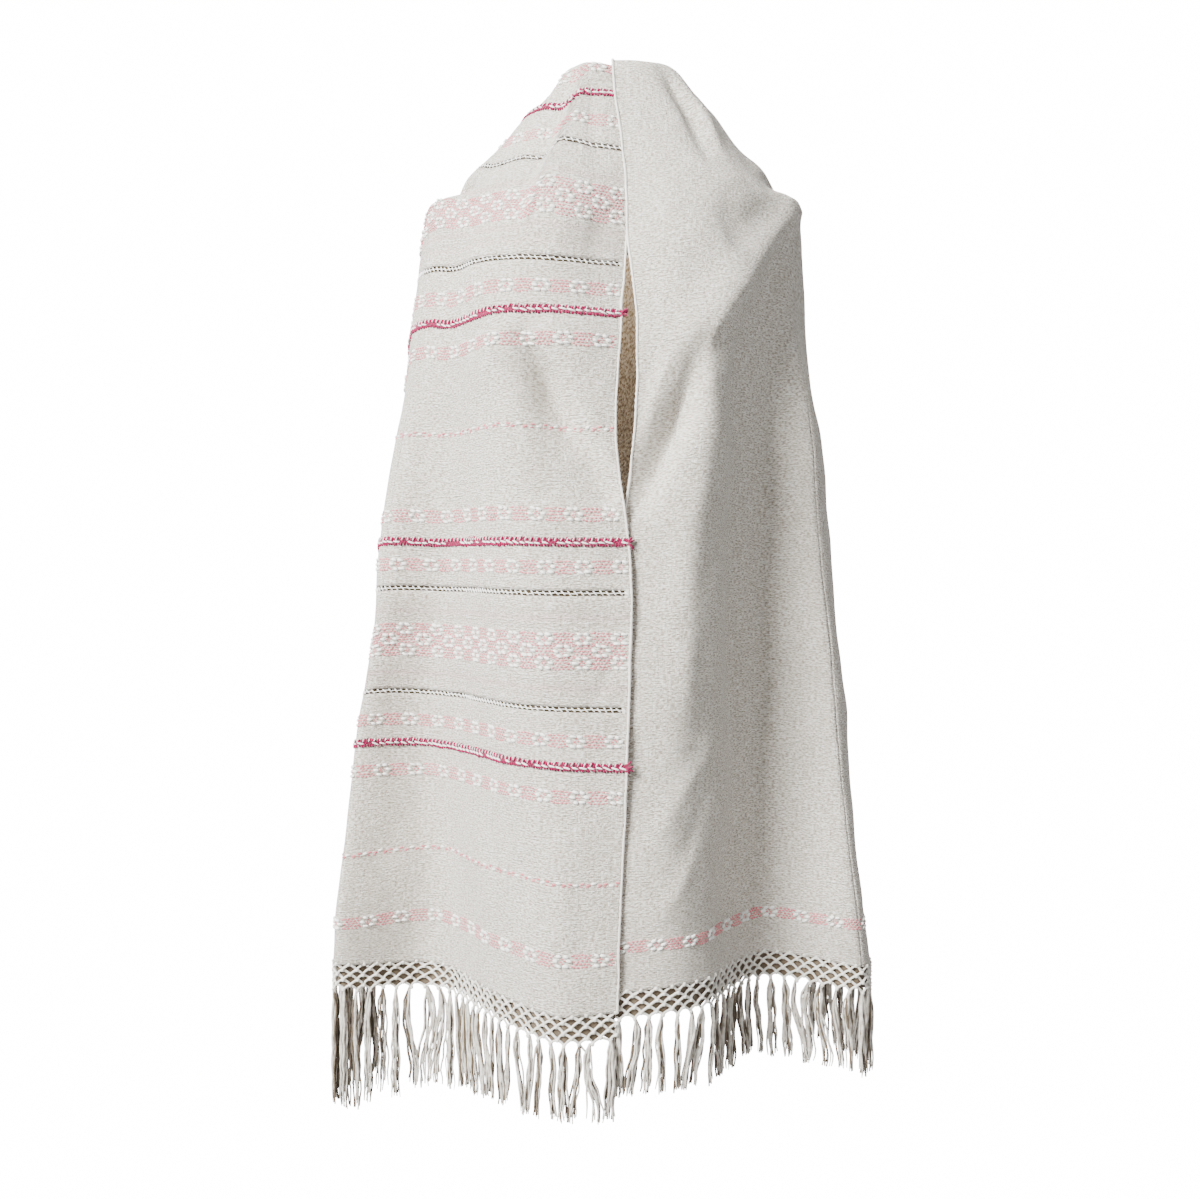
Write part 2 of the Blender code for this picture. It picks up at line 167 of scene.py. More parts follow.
# faint weft stripes of the left half: middle row, half width, colour, strength
STRIPES = (
    (0.136, 0.0030, "#e0bdbf", 0.7), (0.190, 0.0034, "#e0bdbf", 0.7), (0.200, 0.0022, "#cdc2bb", 0.7),
    (0.206, 0.0018, "#e0bdbf", 0.5), (0.562, 0.0020, "#cdc2bb", 0.7), (0.570, 0.0032, "#dfb9bc", 0.8),
    (0.577, 0.0014, "#cdc2bb", 0.6), (0.632, 0.0018, "#cdc2bb", 0.6), (0.638, 0.0032, "#dcb2b6", 0.9),
    (0.645, 0.0016, "#cdc2bb", 0.6),
)

# ---- creases: path of (row, place across), half width on its inner and its outer
# side, and depth (+ is out)
CREASES_LEFT = (
    (((0.000, 0.060), (0.040, 0.066), (0.100, 0.078), (0.163, 0.096), (0.200, 0.108)), 0.024, 0.010, 0.0055),
    (((0.000, 0.072), (0.040, 0.079), (0.100, 0.092), (0.163, 0.112)), 0.009, 0.014, -0.0040),
    (((0.030, 0.050), (0.082, 0.042), (0.120, 0.036)), 0.008, 0.008, -0.0028),
    (((0.300, 0.015), (0.300, 0.060), (0.306, 0.110), (0.324, 0.160)), 0.034, 0.022, 0.0080),
    (((0.308, 0.100), (0.340, 0.072), (0.374, 0.050), (0.408, 0.030), (0.446, 0.016)), 0.012, 0.020, -0.0230),
    (((0.395, 0.038), (0.451, 0.010)), 0.004, 0.004, 0.0014),
    (((0.300, 0.088), (0.360, 0.074), (0.430, 0.054)), 0.022, 0.022, -0.0150),
    (((0.450, 0.010), (0.452, 0.070), (0.450, 0.140)), 0.012, 0.036, -0.0034),
    (((0.156, 0.248), (0.208, 0.184), (0.262, 0.138)), 0.020, 0.016, 0.0030),
    (((0.170, 0.030), (0.214, 0.036)), 0.012, 0.012, -0.0022),
    (((0.495, 0.082), (0.591, 0.084), (0.669, 0.078)), 0.026, 0.030, 0.0026),
    (((0.515, 0.300), (0.623, 0.316), (0.711, 0.330)), 0.030, 0.030, -0.0030),
    (((0.612, 0.014), (0.639, 0.030), (0.662, 0.040)), 0.007, 0.007, -0.0022),
    (((0.767, 0.205), (0.847, 0.172), (0.930, 0.158)), 0.028, 0.022, 0.0036),
    (((0.770, 0.270), (0.860, 0.264), (0.940, 0.262)), 0.030, 0.030, -0.0044),
    (((0.823, 0.046), (0.883, 0.038), (0.945, 0.034)), 0.014, 0.014, -0.0030),
    (((0.180, 0.330), (0.300, 0.380), (0.420, 0.420)), 0.020, 0.020, -0.0045),
    (((0.560, 0.430), (0.720, 0.436), (0.880, 0.450)), 0.022, 0.022, 0.0036),
    (((0.040, 0.300), (0.050, 0.390), (0.060, 0.470)), 0.020, 0.020, -0.0045),
    (((-0.060, 0.260), (-0.050, 0.460)), 0.022, 0.022, 0.0045),
)
CREASES_RIGHT = (
    (((0.012, 0.056), (0.050, 0.078), (0.104, 0.089)), 0.011, 0.008, -0.0085),
    (((0.018, 0.076), (0.054, 0.096), (0.104, 0.108)), 0.006, 0.014, 0.0040),
    (((0.158, 0.080), (0.190, 0.118), (0.224, 0.132)), 0.022, 0.022, -0.0050),
    (((0.122, 0.078), (0.146, 0.132), (0.164, 0.210)), 0.014, 0.012, 0.0034),
    (((0.156, 0.220), (0.208, 0.164), (0.252, 0.110), (0.298, 0.072), (0.346, 0.064)), 0.024, 0.014, 0.0150),
    (((0.206, 0.212), (0.256, 0.166), (0.304, 0.124), (0.364, 0.114)), 0.012, 0.034, -0.0080),
    (((0.346, 0.072), (0.412, 0.074), (0.499, 0.070), (0.577, 0.066), (0.640, 0.074)), 0.020, 0.022, 0.0062),
    (((0.360, 0.134), (0.440, 0.144), (0.530, 0.156), (0.620, 0.164), (0.700, 0.170), (0.770, 0.178),
      (0.840, 0.162), (0.915, 0.140)), 0.026, 0.022, -0.0078),
    (((0.318, 0.066), (0.372, 0.046), (0.416, 0.028), (0.457, 0.016)), 0.018, 0.015, -0.0240),
    (((0.316, 0.036), (0.350, 0.022), (0.392, 0.011)), 0.004, 0.004, 0.0018),
    (((0.310, 0.020), (0.350, 0.009), (0.390, 0.004)), 0.006, 0.005, -0.0024),
    (((0.599, 0.076), (0.657, 0.070)), 0.008, 0.010, 0.0016),
    (((0.709, 0.112), (0.757, 0.068), (0.803, 0.038)), 0.012, 0.010, 0.0024),
    (((0.740, 0.120), (0.800, 0.080), (0.850, 0.046)), 0.010, 0.010, -0.0018),
    (((0.809, 0.094), (0.875, 0.048)), 0.008, 0.008, 0.0018),
    (((0.673, 0.218), (0.720, 0.210), (0.765, 0.206)), 0.008, 0.014, -0.0022),
    (((0.700, 0.236), (0.790, 0.232), (0.900, 0.220)), 0.024, 0.020, 0.0030),
    (((0.252, 0.010), (0.256, 0.066), (0.250, 0.215)), 0.0034, 0.0034, 0.0010),
    (((0.268, 0.026), (0.276, 0.086), (0.272, 0.210)), 0.0030, 0.0030, -0.0006),
    (((0.436, 0.006), (0.438, 0.050), (0.440, 0.104)), 0.0034, 0.0034, -0.0011),
    (((0.603, 0.145), (0.605, 0.226), (0.607, 0.280)), 0.0034, 0.0034, 0.0010),
    (((0.619, 0.138), (0.621, 0.228), (0.621, 0.276)), 0.0030, 0.0030, -0.0008),
    (((0.613, 0.022), (0.617, 0.104)), 0.0034, 0.0034, 0.0008),
    (((0.703, 0.024), (0.703, 0.078), (0.717, 0.190)), 0.0034, 0.0034, 0.0011),
    (((0.707, 0.246), (0.709, 0.300)), 0.0034, 0.0034, 0.0009),
    (((0.180, 0.300), (0.300, 0.350), (0.420, 0.400)), 0.020, 0.020, -0.0045),
    (((0.540, 0.400), (0.710, 0.424), (0.880, 0.440)), 0.022, 0.022, 0.0036),
    (((0.030, 0.300), (0.040, 0.390), (0.050, 0.470)), 0.020, 0.020, -0.0045),
    (((-0.060, 0.250), (-0.050, 0.460)), 0.022, 0.022, 0.0040),
)
# the pleat at the neck of the left half takes the bands in: row, place of the pleat,
# rise on its inner side, fall on its outer side
PLEAT = (
    (-0.020, 0.058, 0.000, 0.000), (0.010, 0.060, 0.000, 0.012), (0.0385, 0.064, 0.002, 0.015),
    (0.072, 0.070, 0.007, 0.010), (0.099, 0.077, 0.010, 0.008), (0.163, 0.096, 0.007, 0.006),
    (0.222, 0.112, 0.000, 0.000),
)


def slopes(knots, values):
    """Tangents of a smooth curve through the rows of values, one per knot."""
    gaps = np.diff(knots)
    rises = np.diff(values, axis=0) / gaps[:, None]
    inside = (rises[:-1] * gaps[1:, None] + rises[1:] * gaps[:-1, None]) / (gaps[:-1] + gaps[1:])[:, None]
    return np.vstack((rises[:1], inside, rises[-1:]))


def through(knots, values, tangents, at):
    """Cubic curve through the knots, taken at each value of at."""
    at = np.clip(np.asarray(at, float), knots[0], knots[-1])
    i = np.clip(np.searchsorted(knots, at, side="right") - 1, 0, len(knots) - 2)
    gap = (knots[i + 1] - knots[i])[:, None]
    f = ((at - knots[i])[:, None]) / gap
    a = (1 + 2 * f) * (1 - f) ** 2 * values[i]
    b = f * (1 - f) ** 2 * gap * tangents[i]
    c = f * f * (3 - 2 * f) * values[i + 1]
    d = f * f * (f - 1) * gap * tangents[i + 1]
    return a + b + c + d


class Half:
    """One half of the cloth as a lattice of points and normals over its rows and widths."""

    def __init__(self, rows, mirror, creases, seed, u_start, pleat=None):
        self.mirror, self.u_start = mirror, u_start
        knots = np.array([row[0] for row in rows]) / 1000
        guides = np.array([[c for guide in row[1:] for c in guide] for row in rows]) / 1000
        bends = slopes(knots, guides)
        table = np.array(FLUTES)
        swings = slopes(table[:, 0], table[:, 1:])
        count = int(round((HEM_T - CENTRE_T) / LATTICE)) + 1
        self.t = np.linspace(CENTRE_T, HEM_T, count)
        self.v = np.linspace(0.0, CLOTH_WIDTH, int(round(CLOTH_WIDTH / LATTICE)) + 1)
        self.side = np.zeros(count)
        self.p = np.zeros((count, len(self.v), 3))
        swing = through(table[:, 0], table[:, 1:], swings, self.t)[:, 0]
        for n, t in enumerate(self.t):
            spot = through(knots, guides, bends, [t])[0].reshape(len(GUIDES), 3)
            chord = np.sqrt(np.linalg.norm(np.diff(spot, axis=0), axis=1))
            stops = np.concatenate(([0.0], np.cumsum(chord)))
            fine = np.linspace(0.0, stops[-1], 141)
            line = through(stops, spot, slopes(stops, spot), fine)
            length = np.concatenate(([0.0], np.cumsum(np.linalg.norm(np.diff(line, axis=0), axis=1))))
            self.side[n] = np.interp(stops[GUIDES.index("side")], fine, length)
            got = np.stack([np.interp(self.v, length, line[:, k]) for k in range(3)], axis=1)
            ends = line[-1] - line[-8]
            got = got + np.maximum(self.v - length[-1], 0.0)[:, None] * ends / np.linalg.norm(ends)
            share = np.clip((self.v - self.side[n]) / (CLOTH_WIDTH - self.side[n]), 0.0, 1.0) ** 1.3
            out = np.stack((got[:, 0] * 0.7, got[:, 1] + 0.02), axis=1)
            out = out / np.maximum(np.linalg.norm(out, axis=1), 1e-6)[:, None]
            got[:, :2] += out * (swing[n] * share)[:, None]
            self.p[n] = got
        self.p[:, :, 0] *= mirror
        self.p[:, :, 2] += WALL
        if pleat:
            self.take_in(np.array(pleat))
            self.keep_level()
        self.n = self.normals()
        tt, vv = np.meshgrid(self.t, self.v, indexing="ij")
        self.p = self.p + self.n * self.crease(tt, vv, creases, seed)[:, :, None]
        self.n = self.normals()

    def take_in(self, table):
        """Slides the rows along the cloth beside the pleat, up on its inner side, down outside."""
        place, rise, fall = [np.interp(self.t, table[:, 0], table[:, k]) for k in (1, 2, 3)]
        for j, v in enumerate(self.v):
            up = rise * np.exp(np.minimum(v - place, 0) / 0.024)
            down = fall * np.exp(np.minimum(place - v, 0) / 0.030)
            outside = 1 / (1 + np.exp((place - v) / 0.0028))
            moved = self.t - up * (1 - outside) + down * outside
            self.p[:, j] = np.stack([np.interp(moved, self.t, self.p[:, j, k]) for k in range(3)], axis=1)

    def keep_level(self):
        """Slides the rows up past the side fold, so that bands stay level as they turn the side."""
        share = np.interp(self.t, (0.13, 0.19, 0.52, 0.60), (0, 1, 1, 0))
        drops = np.zeros_like(self.p[:, :, 2])
        for i, side in enumerate(self.side):
            start, end = int((side - 0.020) / LATTICE), int((side + 0.060) / LATTICE)
            fall = np.maximum(self.p[i, start, 2] - self.p[i, start:end, 2], 0.0)
            drops[i, start:end] = np.maximum.accumulate(fall)
            drops[i, end:] = drops[i, end - 1]
        blur = np.hanning(31) / np.hanning(31).sum()
        for j in range(len(self.v)):
            drop = np.convolve(np.pad(drops[:, j], 15, mode="edge"), blur, mode="valid")
            moved = self.t - share * np.minimum(drop, 0.070)
            self.p[:, j] = np.stack([np.interp(moved, self.t, self.p[:, j, k]) for k in range(3)], axis=1)

    def normals(self):
        down = np.gradient(self.p, axis=0)
        across = np.gradient(self.p, axis=1)
        normal = np.cross(down, across) * self.mirror
        return normal / np.maximum(np.linalg.norm(normal, axis=2), 1e-9)[:, :, None]

    def crease(self, t, v, creases, seed):
        """Offset along the normal: the listed folds and a slow unevenness of the cloth."""
        lift = np.zeros_like(t)
        for path, inner, outer, depth in creases:
            near, along, side = np.full_like(t, 9.0), np.zeros_like(t), np.ones_like(t)
            run = 0.0
            for (t0, v0), (t1, v1) in zip(path[:-1], path[1:]):
                dt, dv = t1 - t0, v1 - v0
                size = math.hypot(dt, dv)
                share = np.clip(((t - t0) * dt + (v - v0) * dv) / size ** 2, 0, 1)
                gap = np.hypot(t - t0 - share * dt, v - v0 - share * dv)
                closer = gap < near
                near = np.where(closer, gap, near)
                along = np.where(closer, run + share * size, along)
                side = np.where(closer, (t - t0) * dv - (v - v0) * dt, side)
                run += size
            width = np.where(side > 0, inner, outer)
            fade = np.sin(math.pi * (0.12 + 0.76 * along / run)) ** 0.8
            lift += depth * fade * np.exp(-((near / width) ** 2))
        rng = np.random.default_rng(seed)
        for scale, depth in ((0.16, 0.0011), (0.075, 0.0006), (0.034, 0.00026)):
            for _ in range(7):
                turn = rng.uniform(0, math.pi)
                wave = 2 * math.pi / (scale * rng.uniform(0.8, 1.3))
                phase = rng.uniform(0, 2 * math.pi)
                lift += depth * np.sin(wave * (t * math.sin(turn) * 0.7 + v * math.cos(turn)) + phase) / 2.2
        return lift

    def at(self, t, v, lift=0.0):
        """Points on the cloth's face, lifted off it, with their normals."""
        t, v = np.broadcast_arrays(np.asarray(t, float), np.asarray(v, float))
        x = np.clip((t - self.t[0]) / LATTICE, 0, len(self.t) - 1.001)
        y = np.clip(v / LATTICE, 0, len(self.v) - 1.001)
        i, j = x.astype(int), y.astype(int)
        f, g = (x - i)[..., None], (y - j)[..., None]
        both = []
        for a in (self.p, self.n):
            upper = a[i, j] * (1 - g) + a[i, j + 1] * g
            lower = a[i + 1, j] * (1 - g) + a[i + 1, j + 1] * g
            both.append(upper * (1 - f) + lower * f)
        return both[0] + both[1] * np.asarray(lift)[..., None], both[1]

    def side_at(self, t):
        return np.interp(t, self.t, self.side)


LEFT = Half(LEFT_ROWS, -1.0, CREASES_LEFT, 3, LEFT_U, PLEAT)
RIGHT = Half(RIGHT_ROWS, 1.0, CREASES_RIGHT, 5, RIGHT_U)
HALVES = (LEFT, RIGHT)


# ---- materials
def linear(code):
    """An sRGB hex colour as linear values."""
    parts = [int(code[i:i + 2], 16) / 255 for i in (1, 3, 5)]
    return tuple(c / 12.92 if c <= 0.04045 else ((c + 0.055) / 1.055) ** 2.4 for c in parts) + (1.0,)


def add(tree, kind, feeds=None, **settings):
    """A node of one kind, with its settings, and values or links fed to its sockets."""
    made = tree.nodes.new("ShaderNode" + kind)
    for key, value in settings.items():
        setattr(made, key, value)
    for socket, value in (feeds or {}).items():
        if isinstance(value, bpy.types.NodeSocket):
            tree.links.new(value, made.inputs[socket])
        else:
            made.inputs[socket].default_value = value
    return made


def fresh(name):
    made = bpy.data.materials.new(name)
    made.use_nodes = True
    made.node_tree.nodes.clear()
    return made, made.node_tree


def maths(tree, operation, *values, clamp=False):
    return add(tree, "Math", dict(enumerate(values)), operation=operation, use_clamp=clamp).outputs[0]


def mixed(tree, share, a, b):
    return add(tree, "Mix", {0: share, 6: a, 7: b}, data_type="RGBA").outputs[2]


def finish_shader(tree, colour, bump, rough, glow, sheen=0.25):
    """Cotton: a matte face with a little sheen, and some light passing through."""
    face = add(tree, "BsdfPrincipled", {"Base Color": colour, "Roughness": rough, "Normal": bump,
                                        "Specular IOR Level": 0.22, "Sheen Weight": sheen,
                                        "Sheen Roughness": 0.45})
    back = add(tree, "BsdfTranslucent", {"Color": glow, "Normal": bump})
    both = add(tree, "MixShader", {0: 0.10, 1: face.outputs[0], 2: back.outputs[0]})
    add(tree, "OutputMaterial", {0: both.outputs[0]})


def woven_cotton():
    """Handwoven plain-weave cotton: slubby weft, finer warp, faint coloured weft stripes."""
    mat, tree = fresh("handwoven_cream_cotton")
    uv = add(tree, "UVMap", uv_map="cloth")
    mm = add(tree, "VectorMath", {0: uv.outputs[0], 1: (1000, 1000, 0)}, operation="MULTIPLY").outputs[0]
    split = add(tree, "SeparateXYZ", {0: mm})
    down, across = split.outputs[0], split.outputs[1]

    def streaks(size_down, size_across, detail, seed):
        moved = add(tree, "VectorMath", {0: mm, 1: (1 / size_down, 1 / size_across, 1)}, operation="MULTIPLY")
        moved = add(tree, "VectorMath", {0: moved.outputs[0], 1: (seed, seed * 1.7, 0)}, operation="ADD")
        return add(tree, "TexNoise", {"Vector": moved.outputs[0], "Scale": 1.0, "Detail": detail,
                                      "Roughness": 0.6}, noise_dimensions="2D").outputs[0]

    short = streaks(1.25, 3.6, 1.0, 3.1)
    weft = streaks(1.7, 15.0, 2.0, 8.4)
    warp = streaks(22.0, 1.6, 2.0, 5.7)
    grain = streaks(1.1, 1.3, 0.0, 12.3)
    broad = streaks(70.0, 55.0, 2.0, 20.0)
    pick = maths(tree, "SINE", maths(tree, "MULTIPLY", down, 2 * math.pi / 1.25))
    end = maths(tree, "SINE", maths(tree, "MULTIPLY", across, 2 * math.pi / 1.15))
    weave = maths(tree, "MULTIPLY", pick, end)
    stripes = add(tree, "ValToRGB", {0: maths(tree, "DIVIDE", down, 700.0)})
    ramp = stripes.color_ramp
    ramp.elements[0].color = linear(GROUND)
    ramp.elements[1].color = linear(GROUND)
    for middle, half, colour, strength in STRIPES:
        base, tint = np.array(linear(GROUND)), np.array(linear(colour))
        for place, share in ((middle - half * 1.4, 0), (middle, strength), (middle + half * 1.4, 0)):
            ramp.elements.new(place / 0.7).color = tuple(base * (1 - share) + tint * share)
    tone = mixed(tree, maths(tree, "MULTIPLY", broad, 0.35), stripes.outputs[0], linear("#ddd5c6"))
    # layers of tone: where they lie, gain and offset of their share, its most, and colour
    # the darkening toward SHADE and at the pinholes is painted shade in the weave's gaps
    for source, gain, offset, most, colour in (
            (short, -3.4, 2.15, 1.0, SHADE),         # gaps between picks
            (weft, -4.0, 2.0, 0.45, SHADE),          # thin picks
            (weft, 5.0, -2.9, 0.75, "#fffdf7"),      # slubs
            (warp, -3.0, 1.6, 0.22, SHADE),          # lanes between warps
            (weave, 2.0, -1.2, 0.30, "#a59b8a")):    # pinholes
        share = maths(tree, "MULTIPLY_ADD", source, gain, offset, clamp=True)
        tone = mixed(tree, maths(tree, "MULTIPLY", share, most), tone, linear(colour))
    height = maths(tree, "MULTIPLY", weft, 1.3)
    for source, rise in ((warp, 0.6), (weave, 0.16), (short, 1.3), (grain, 0.4)):
        height = maths(tree, "ADD", height, maths(tree, "MULTIPLY", source, rise))
    bump = add(tree, "Bump", {"Height": height, "Strength": 1.0, "Distance": 0.0016})
    finish_shader(tree, tone, bump.outputs[0], 0.9, linear("#c9a27c"))
    return mat


def yarn(name, dark, light, twist=1.1, vary=9.0):
    """A plied cotton yarn: small twisted ridges and uneven tone along it."""
    mat, tree = fresh(name)
    where = add(tree, "TexCoord").outputs["Object"]
    mm = add(tree, "VectorMath", {0: where, 1: (1000, 1000, 1000)}, operation="MULTIPLY").outputs[0]
    ply = add(tree, "TexWave", {"Vector": mm, "Scale": 0.32 / twist, "Distortion": 1.5, "Detail": 1.0},
              bands_direction="DIAGONAL").outputs["Fac"]
    uneven = add(tree, "TexNoise", {"Vector": mm, "Scale": 1 / vary, "Detail": 3.0}).outputs[0]
    fuzz = add(tree, "TexNoise", {"Vector": mm, "Scale": 1.3, "Detail": 1.0}).outputs[0]
    share = maths(tree, "MULTIPLY_ADD", uneven, 1.8, -0.4, clamp=True)
    tone = mixed(tree, share, linear(dark), linear(light))
    tone = mixed(tree, maths(tree, "MULTIPLY", ply, 0.22), tone, linear(dark))
    height = maths(tree, "ADD", ply, maths(tree, "MULTIPLY", fuzz, 0.8))
    bump = add(tree, "Bump", {"Height": height, "Strength": 0.7, "Distance": 0.0005})
    finish_shader(tree, tone, bump.outputs[0], 0.88, linear(light), 0.3)
    return mat


GROUND = "#f9f3e9"
SHADE = "#a89d8c"
COTTON = woven_cotton()
CREAM_CORD = yarn("cream_warp_cord", "#cfc9bc", "#f2efe8")            # selvages and net
FRINGE_CORD = yarn("fringe_cotton", "#938a7b", "#f6f1e8", 0.9, 6.0)   # outer tassel strands
WHITE_FLOAT = yarn("white_brocade_cotton", "#efede7", "#fdfcf9")      # thick white pattern weft
PINK_FLOAT = yarn("dusty_pink_cotton", "#c2646d", "#e49697")          # fine pink pattern weft
CRIMSON = yarn("crimson_cotton", "#68002f", "#a0004a", 0.9, 4.0)      # twined crimson yarn
PAINTED_SHADE_YARN = yarn("painted_shade_dark_yarn", "#4a3f31", "#736554")          # painted shade: the sheets behind the nets and dark strands in the tassels
OPENWORK_SHADE_YARN = yarn("openwork_painted_shade_yarn", "#3b3226", "#655743")                   # painted shade: dark strips behind the openwork's openings


# ---- making meshes
def keep(name, bm, mat, nodes=()):
    mesh = bpy.data.meshes.new(name)
    bm.to_mesh(mesh)
    bm.free()
    return dress(name, mesh, mat, nodes)


def dress(name, mesh, mat, nodes=()):
    """A mesh with its material, slot and the nodes it stands for."""
    mesh.materials.clear()
    mesh.materials.append(mat)
    mesh.polygons.foreach_set("use_smooth", [True] * len(mesh.polygons))
    thing = bpy.data.objects.new(name, mesh)
    bpy.context.scene.collection.objects.link(thing)
    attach(thing, "root")
    if nodes:
        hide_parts(*nodes)
    return thing


def grid(down, across):
    """A flat grid, with the (row, column) of each of its vertices."""
    bm = bmesh.new()
    bmesh.ops.create_grid(bm, x_segments=down, y_segments=across, size=0.5)
    return bm, {vert: (int(round((vert.co.x + 0.5) * down)), int(round((vert.co.y + 0.5) * across)))
                for vert in bm.verts}


def stretch(name, rows, node, open_rows=()):
    """A stretch of cloth: a grid over rows of (half, t, widths), with openwork left open."""
    bm, cells = grid(len(rows) - 1, len(rows[0][2]) - 1)
    layer = bm.loops.layers.uv.new("cloth")
    table = [(half.at(t, v)[0], v, half.u_start + t) for half, t, v in rows]
    place = {}
    for vert, (i, j) in cells.items():
        place[vert] = (table[i][2], table[i][1][j])
        vert.co = table[i][0][j]
    for face in bm.faces:
        far = max(place[vert][0] for vert in face.verts)
        for loop in face.loops:
            u, v = place[loop.vert]
            # the cells where the halves meet take the length of one cell, not the jump between halves
            loop[layer].uv = (u if far - u < 0.05 else far - CELL, v)
    gone = []
    for face in bm.faces:
        u = sum(place[vert][0] for vert in face.verts) / 4
        v = sum(place[vert][1] for vert in face.verts) / 4
        inside = OPEN_MARGIN < v < CLOTH_WIDTH - OPEN_MARGIN
        if inside and any(abs(u - row) < OPEN_HALF for row in open_rows):
            gone.append(face)
    bmesh.ops.delete(bm, geom=gone, context="FACES")
    bm.normal_update()
    facing = 0.0
    for face in bm.faces:
        middle = face.calc_center_median()
        facing += face.calc_area() * (face.normal.x * middle.x + face.normal.y * (middle.y + 0.02))
    if facing < 0:
        bmesh.ops.reverse_faces(bm, faces=bm.faces[:])
    thing = keep(name, bm, COTTON, (node,))
    shell = thing.modifiers.new("wall", "SOLIDIFY")
    shell.thickness = THICK
    shell.offset = -1.0
    return thing


OPEN = [middle for kind, middle in BANDS if kind == "O"]


def mesh_rows():
    """Rows of the mesh, with a pair of rows on the edges of every openwork band."""
    edges = [CENTRE_T, HEM_T]
    for middle in OPEN:
        edges += [middle - OPEN_HALF, middle + OPEN_HALF]
    edges = sorted(edges)
    rows = []
    for a, b in zip(edges[:-1], edges[1:]):
        count = max(2, int(round((b - a) / CELL)))
        rows += [a + (b - a) * k / count for k in range(count)]
    return rows + [edges[-1]]


ROWS = mesh_rows()


def front(half):
    return [(half, t, np.linspace(0, half.side_at(t), FRONT_N + 1)) for t in ROWS]


def behind(half):
    return [(half, t, np.linspace(half.side_at(t), CLOTH_WIDTH, BACK_N + 1)) for t in ROWS]


left_panel = stretch("left_panel", front(LEFT), "front_left", OPEN)
right_panel = stretch("right_panel", front(RIGHT), "front_right")
back_drape = stretch("back_drape", behind(LEFT)[:0:-1] + behind(RIGHT), "back", OPEN)


def base_pad(around, along):
    """One float of yarn, 1 long in x, 1 high in y and 1 thick in z, made by an operator."""
    bm = bmesh.new()
    bmesh.ops.create_uvsphere(bm, u_segments=around, v_segments=along, radius=0.5)
    for vert in bm.verts:
        vert.co = (vert.co.z, vert.co.x, vert.co.y)
    bm.verts.index_update()
    points = np.array([vert.co[:] for vert in bm.verts])
    points[:, 0] = np.sign(points[:, 0]) * np.abs(points[:, 0] * 2) ** 0.8 / 2
    faces = [[vert.index for vert in face.verts] for face in bm.faces]
    bm.free()
    return points, faces


def scatter(name, base, places, mat):
    """One joined mesh of a small form, repeated at each (centre, three scaled axes)."""
    points, faces = base
    centre = np.array([place[0] for place in places])
    axes = np.array([place[1] for place in places])
    all_points = np.einsum("pk,nkx->npx", points, axes) + centre[:, None, :]
    count = len(points)
    joined = [[index + n * count for index in face] for n in range(len(places)) for face in faces]
    mesh = bpy.data.meshes.new(name)
    mesh.from_pydata(all_points.reshape(-1, 3).tolist(), [], joined)
    mesh.update()
    return dress(name, mesh, mat)


def lie(half, t, v, length, height, thick, tilt, lift):
    """Places one float on the cloth: along the weft, turned by tilt in the cloth's plane."""
    beside = 0.0015
    here, normal = half.at(t, v, lift)
    ahead = half.at(t, min(v + beside, CLOTH_WIDTH))[0] - half.at(t, max(v - beside, 0.0))[0]
    ahead = ahead / np.linalg.norm(ahead)
    up = np.cross(normal, ahead) * half.mirror
    up = up / np.linalg.norm(up)
    c, s = math.cos(tilt), math.sin(tilt)
    along, high = ahead * c + up * s, up * c - ahead * s
    return here, (along * length, high * height, normal * thick)


# ---- the charts, in mm: along the weft, down the warp, length, height, tilt in degrees
FLOWER = (
    (-3.2, -4.8, 6.4, 3.2, 16), (3.4, -5.0, 6.4, 3.2, 14), (-6.9, -0.6, 6.0, 3.3, 18),
    (6.7, -0.2, 6.0, 3.3, 14), (-3.6, 4.3, 6.6, 3.2, 12), (3.2, 4.7, 6.4, 3.2, 18),
)
FILL = (
    (-1.9, -0.4, 2.6, 2.0, 0), (1.9, 0.2, 2.6, 2.0, 0), (-9.2, -5.2, 3.0, 2.0, 0), (9.2, -5.0, 3.0, 2.0, 0),
    (-9.4, 4.6, 3.0, 2.0, 0), (9.2, 4.8, 3.0, 2.0, 0), (0.0, -2.2, 3.0, 1.6, 0), (0.2, 2.0, 3.0, 1.6, 0),
)
BLOCK = (
    (-4.9, -5.6, 3.4, 2.2, 0), (-0.9, -5.8, 3.4, 2.2, 0), (3.2, -5.6, 3.4, 2.2, 0), (7.0, -5.7, 2.8, 2.2, 0),
    (-7.0, -2.9, 3.2, 2.3, 0), (-2.9, -3.0, 3.5, 2.3, 0), (1.2, -2.9, 3.5, 2.3, 0), (5.3, -3.0, 3.5, 2.3, 0),
    (-8.6, -0.1, 2.8, 2.3, 0), (-5.0, 0.0, 3.4, 2.3, 0), (-0.9, -0.1, 3.5, 2.3, 0), (3.2, 0.1, 3.5, 2.3, 0),
    (7.4, 0.0, 3.2, 2.3, 0),
    (-7.2, 2.9, 3.2, 2.3, 0), (-3.0, 3.0, 3.5, 2.3, 0), (1.1, 2.9, 3.5, 2.3, 0), (5.2, 3.0, 3.5, 2.3, 0),
    (-5.0, 5.7, 3.4, 2.2, 0), (-1.0, 5.8, 3.4, 2.2, 0), (3.0, 5.7, 3.4, 2.2, 0), (6.8, 5.6, 2.8, 2.2, 0),
)
white_places, pink_places, crimson_places, open_places = [], [], [], []


